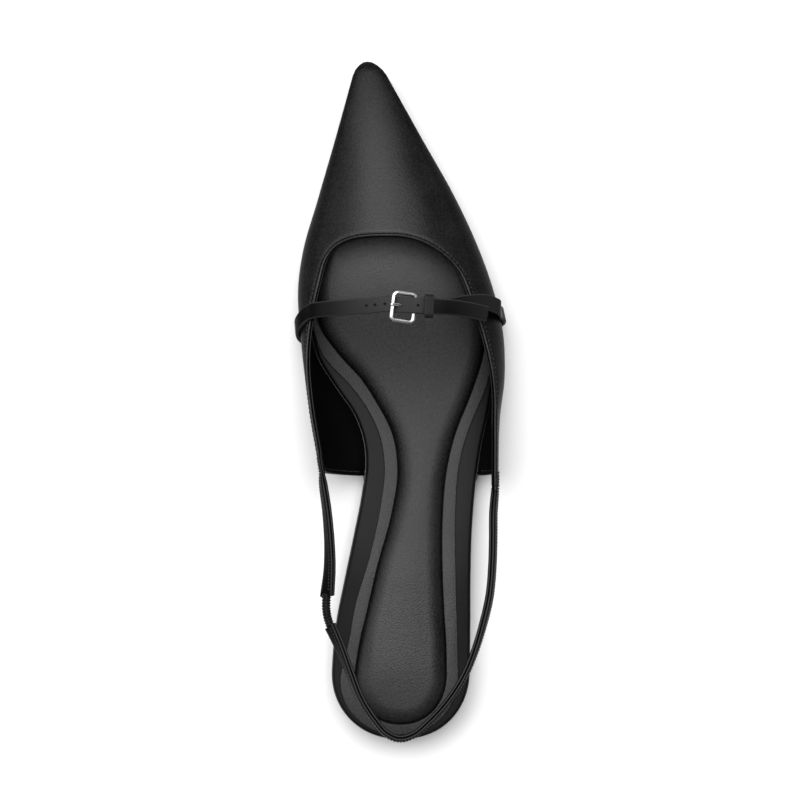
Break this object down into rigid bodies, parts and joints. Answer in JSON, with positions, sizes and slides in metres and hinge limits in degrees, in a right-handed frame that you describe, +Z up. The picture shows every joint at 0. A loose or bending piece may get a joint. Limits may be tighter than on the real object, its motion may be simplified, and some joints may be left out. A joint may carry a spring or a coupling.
{
  "type": "pointed toe slingback flat",
  "caption": "Closed pointed-toe slingback flat for the right foot, with a thin buckled instep strap, a heel sling with elastic, a cushioned sock and a low block heel.",
  "frame": {"origin": "middle of the shoe's outline seen from above, on the floor it stands on", "axes": "+Y from the heel to the toe, +X to the lateral (outer) side of this right shoe, +Z up"},
  "size_m": [0.0828, 0.2648, 0.0566],
  "materials": {
    "black_leather": "smooth satin black leather",
    "strap_leather": "smooth satin black leather with folded edges",
    "sole_rubber": "matte black",
    "heel_stack": "satin black",
    "insole_wrap": "smooth black wrap",
    "sock_lining": "matte fine-grained black lining",
    "nickel": "polished nickel",
    "elastic": "ribbed black elastic"
  },
  "bodies": {
    "root": {"outsole": "sole_rubber", "heel": "heel_stack", "insole": "insole_wrap", "sock_pad": "sock_lining", "upper": "black_leather", "strap_billet": "strap_leather", "strap_base": "strap_leather", "strap_keeper": "strap_leather", "buckle_frame": "nickel", "buckle_prong": "nickel", "sling_front": "strap_leather", "sling_elastic": "elastic", "sling_back": "strap_leather"}
  },
  "joints": []
}
